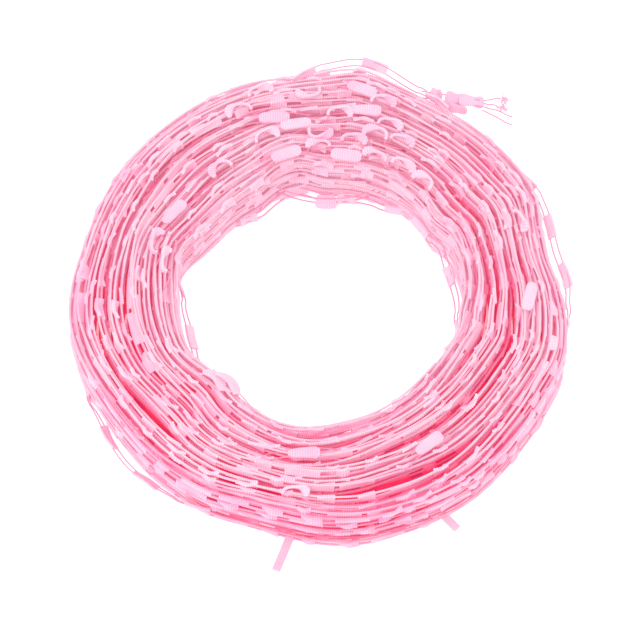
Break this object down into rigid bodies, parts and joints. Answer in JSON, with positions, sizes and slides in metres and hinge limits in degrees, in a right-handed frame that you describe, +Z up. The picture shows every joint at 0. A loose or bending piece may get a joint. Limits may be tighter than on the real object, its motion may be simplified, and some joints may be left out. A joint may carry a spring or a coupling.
{
  "type": "hank of flag trim",
  "caption": "Ring-shaped hank of narrow pink flag trim: wound turns of paired carrier threads with ribbed woven flags, a loose frayed end and an open eye.",
  "frame": {"origin": "centre of the underside of the hank's bounding box, on the table", "axes": "+Z up, along the axis of the ring; +X to the side where the loose end hangs off the rim; +Y to the back of the hank, where most buckled flags are"},
  "size_m": [0.2094, 0.2272, 0.0361],
  "materials": {
    "trim": "matte ribbed weave with a soft thread sheen",
    "flags": "matte ribbed weave, fine ribs across the flag",
    "carrier_thread": "fine twisted thread, slightly glossy"
  },
  "bodies": {
    "root": {"arched_flag_1": "flags", "arched_flag_10": "flags", "arched_flag_11": "flags", "arched_flag_12": "flags", "arched_flag_13": "flags", "arched_flag_14": "flags", "arched_flag_15": "flags", "arched_flag_16": "flags", "arched_flag_17": "flags", "arched_flag_18": "flags", "arched_flag_19": "flags", "arched_flag_2": "flags", "arched_flag_20": "flags", "arched_flag_3": "flags", "arched_flag_4": "flags", "arched_flag_5": "flags", "arched_flag_6": "flags", "arched_flag_7": "flags", "arched_flag_8": "flags", "arched_flag_9": "flags", "end_flags": "flags", "eye_back_flag": "flags", "eye_edge_flag": "flags", "eye_lay_bottom": "trim", "eye_lay_middle": "trim", "eye_lay_top": "trim", "flat_flag_1": "flags", "flat_flag_10": "flags", "flat_flag_2": "flags", "flat_flag_3": "flags", "flat_flag_4": "flags", "flat_flag_5": "flags", "flat_flag_6": "flags", "flat_flag_7": "flags", "flat_flag_8": "flags", "flat_flag_9": "flags", "front_tab_left": "flags", "front_tab_right": "flags", "inner_lay_bottom": "trim", "inner_lay_middle": "trim", "inner_lay_top": "trim", "loose_thread_1": "carrier_thread", "loose_thread_2": "carrier_thread", "loose_thread_3": "carrier_thread", "loose_thread_4": "carrier_thread", "outer_lay_bottom": "trim", "outer_lay_middle": "trim", "outer_lay_top": "trim", "rim_lay_bottom": "trim", "rim_lay_middle": "trim", "rim_lay_top": "trim", "stray_turn_eye_back": "trim", "stray_turn_eye_left": "trim", "stray_turn_eye_right": "trim", "stray_turn_rim_back": "trim", "stray_turn_rim_left": "trim", "stray_turn_rim_right": "trim", "thread_tuft_1": "flags", "thread_tuft_2": "flags"}
  },
  "joints": []
}
